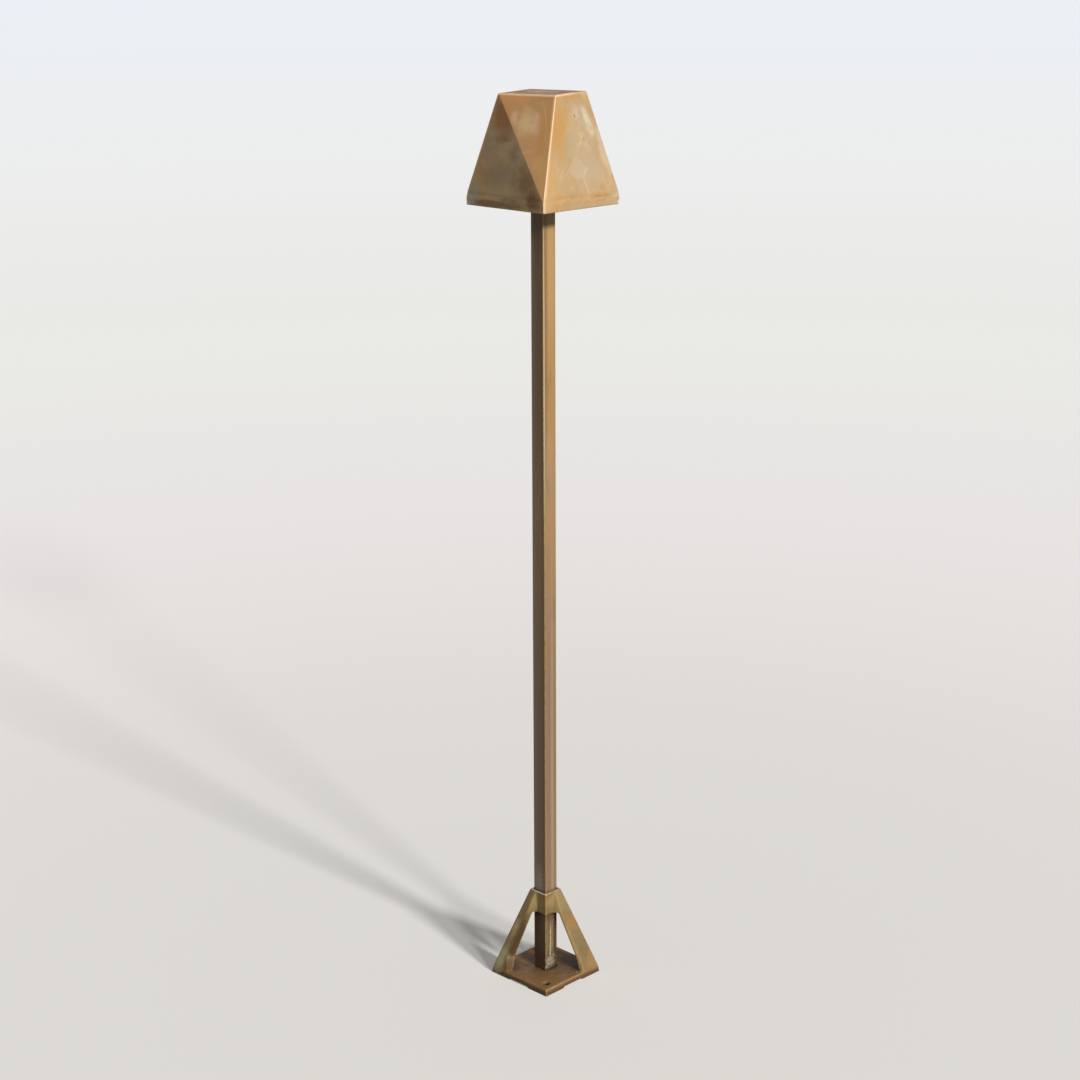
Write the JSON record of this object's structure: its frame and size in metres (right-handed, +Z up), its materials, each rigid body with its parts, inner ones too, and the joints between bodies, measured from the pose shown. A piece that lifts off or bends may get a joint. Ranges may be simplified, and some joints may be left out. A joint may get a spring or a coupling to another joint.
{
  "type": "path light",
  "caption": "Brass path light: square post on a small cast screw-down foot with leaning legs, under a closed square shade whose flat top is turned against its hem, over a glass-covered bulb.",
  "frame": {"origin": "middle of the base's underside, on the post's axis, on the surface the light stands on", "axes": "+Z up along the post; X and Y square to the sides of the base, the post and the shade's hem, with the legs at the corners (+X, +Y) and (-X, -Y) and the screw holes near the other two"},
  "size_m": [0.0778, 0.0778, 0.687],
  "materials": {
    "cast_brass": "sand-cast brass, ground on its faces, with a reddish brown patina",
    "post_brass": "drawn square tube with an aged satin patina",
    "shade_brass": "sheet brass, satin, with a cloudy golden patina",
    "turned_brass": "turned, plain satin",
    "steel": "stainless screws",
    "nickel": "nickel plated",
    "rubber": "black moulded rubber",
    "silicone": "grey silicone seal",
    "ceramic": null,
    "frosted_glass": "acid-frosted glass tube",
    "capsule": "milky silicone capsule of a plug-in lamp",
    "lead_black": "black wire insulation",
    "lead_red": "red wire insulation",
    "nylon": "natural nylon"
  },
  "bodies": {
    "stand": {"base_casting": "cast_brass", "post_screw_1": "steel", "post_screw_2": "steel", "cable_grommet": "rubber", "post_tube": "post_brass", "lamp_holder": "turned_brass", "holder_screw_1": "steel", "holder_screw_2": "steel", "lens_gasket": "silicone", "socket_body": "ceramic", "socket_screw_1": "steel", "socket_screw_2": "steel", "socket_contact_1": "nickel", "socket_contact_2": "nickel", "lead_1": "lead_black", "splice_1": "nylon", "lead_2": "lead_red", "splice_2": "nylon"},
    "lamp": {"lamp_pin_1": "nickel", "lamp_pin_2": "nickel", "lamp_base": "ceramic", "lamp_capsule": "capsule"},
    "lens": {"lens_tube": "frosted_glass", "lens_ring": "turned_brass", "ring_screw_1": "steel", "ring_screw_2": "steel", "cap_gasket": "silicone", "lens_cap": "turned_brass"},
    "shade": {"shade_shell": "shade_brass", "shade_hub": "turned_brass", "shade_screw_1": "steel", "shade_screw_2": "steel"}
  },
  "joints": [
    {"name": "lens_lift", "type": "slide", "parent": "stand", "child": "lens", "axis": [0, 0, 1], "range_m": [0, 0.05]},
    {"name": "shade_lift", "type": "slide", "parent": "lens", "child": "shade", "axis": [0, 0, 1], "range_m": [0, 0.09]},
    {"name": "lamp_pull", "type": "slide", "parent": "stand", "child": "lamp", "axis": [0, 0, 1], "range_m": [0, 0.008]}
  ]
}
